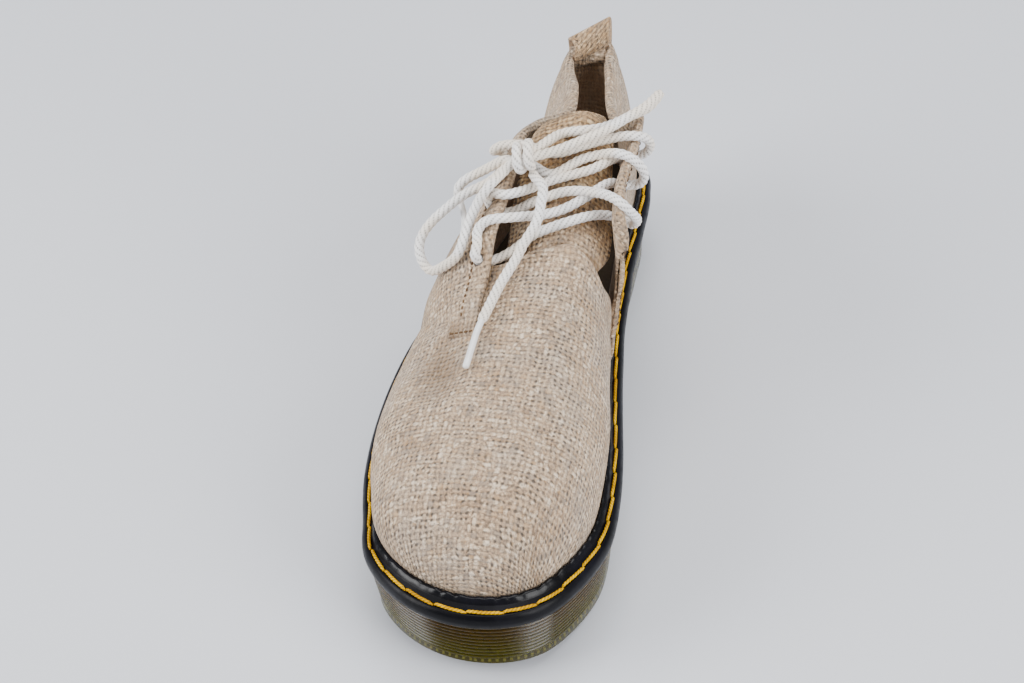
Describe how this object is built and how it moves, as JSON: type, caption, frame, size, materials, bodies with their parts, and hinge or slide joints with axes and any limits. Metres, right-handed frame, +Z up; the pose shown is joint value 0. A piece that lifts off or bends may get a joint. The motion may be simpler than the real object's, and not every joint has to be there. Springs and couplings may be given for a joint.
{
  "type": "lace-up derby shoe",
  "caption": "Low open-laced shoe of coarse hemp cloth on a black stitched welt and a translucent ribbed sole, with a folded heel loop and a twisted cotton lace tied in a bow.",
  "frame": {"origin": "on the floor under the middle of the shoe, without the bow's cords", "axes": "+Y from the toe to the heel, +X towards the inner side of the foot, +Z up"},
  "size_m": [0.1094, 0.3, 0.1288],
  "materials": {
    "sole": "translucent olive, satin",
    "welt": "black, satin",
    "cloth": "coarse plain weave, matt",
    "footbed": "brown, matt",
    "metal": "plain rolled rings",
    "lace": "twisted cotton cord, off-white"
  },
  "bodies": {
    "root": {"outsole": "sole", "welt": "welt", "insole": "footbed", "upper": "cloth", "tongue": "cloth", "heel_loop": "cloth", "eyelet_outer_1": "metal", "eyelet_outer_2": "metal", "eyelet_outer_3": "metal", "eyelet_inner_1": "metal", "eyelet_inner_2": "metal", "eyelet_inner_3": "metal", "lace_cross_top": "lace", "lace_cross_upper": "lace", "lace_cross_lower": "lace", "lace_bar_bottom": "lace", "lace_knot": "lace", "lace_loop_left": "lace", "lace_loop_right": "lace", "lace_end_front": "lace", "lace_end_side": "lace"}
  },
  "joints": []
}
